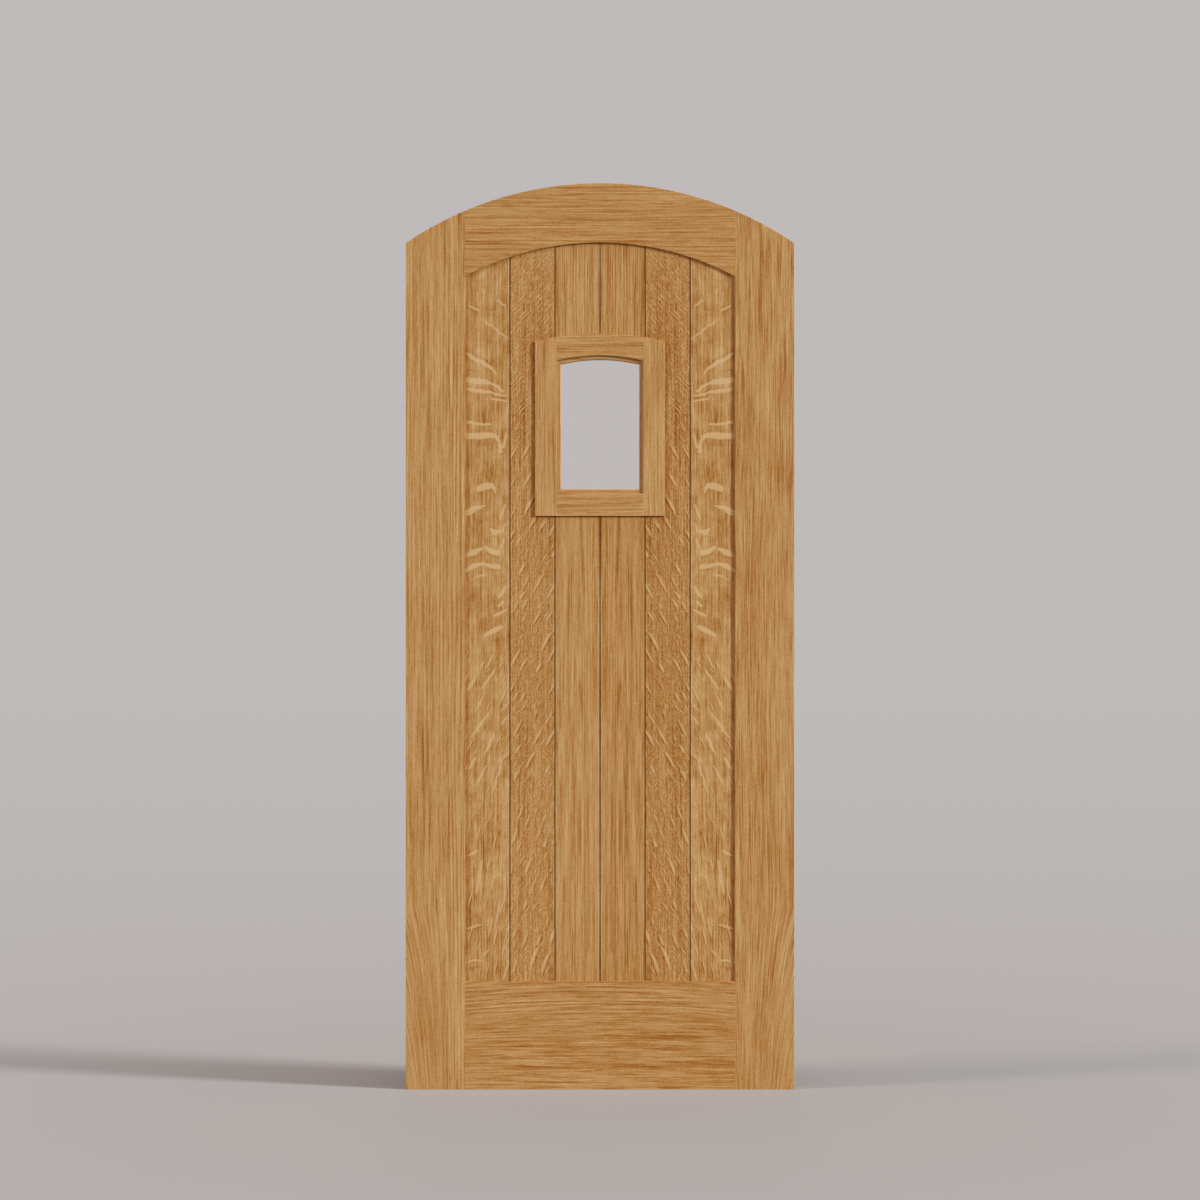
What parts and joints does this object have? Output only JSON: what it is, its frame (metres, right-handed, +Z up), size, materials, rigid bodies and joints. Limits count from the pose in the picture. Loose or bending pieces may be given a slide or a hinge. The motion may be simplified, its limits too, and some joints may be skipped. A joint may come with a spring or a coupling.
{
  "type": "arched wooden door leaf",
  "caption": "Arched oak door leaf: stiles and rails round vertical tongue-and-groove planks, with a small arched glazed window and plain edges for hinges and latch.",
  "frame": {"origin": "middle of the door's bottom edge, at half its thickness", "axes": "+Z up the door, +X to the right as seen from the front, front face towards -Y"},
  "size_m": [0.9144, 0.0444, 2.1336],
  "materials": {
    "frame_oak": "satin clear coat",
    "plank_oak": "satin clear coat",
    "window_oak": "satin clear coat",
    "bead_oak": "satin clear coat",
    "clear_glass": "clear",
    "glazing_tape": "matt",
    "setting_rubber": "matt",
    "pin_steel": "drawn"
  },
  "bodies": {
    "root": {"left_stile": "frame_oak", "right_stile": "frame_oak", "arched_top_rail": "frame_oak", "bottom_rail": "frame_oak", "plank_1": "plank_oak", "plank_2": "plank_oak", "plank_3_upper": "plank_oak", "plank_3_lower": "plank_oak", "plank_4_upper": "plank_oak", "plank_4_lower": "plank_oak", "plank_5": "plank_oak", "plank_6": "plank_oak", "window_left_stile": "window_oak", "window_right_stile": "window_oak", "window_top_rail": "window_oak", "window_bottom_rail": "window_oak", "front_bead_head": "bead_oak", "front_bead_sill": "bead_oak", "front_bead_left": "bead_oak", "front_bead_right": "bead_oak", "back_bead_head": "bead_oak", "back_bead_sill": "bead_oak", "back_bead_left": "bead_oak", "back_bead_right": "bead_oak", "window_glass": "clear_glass", "front_glazing_tape": "glazing_tape", "back_glazing_tape": "glazing_tape", "setting_blocks": "setting_rubber", "bead_pins": "pin_steel"}
  },
  "joints": []
}
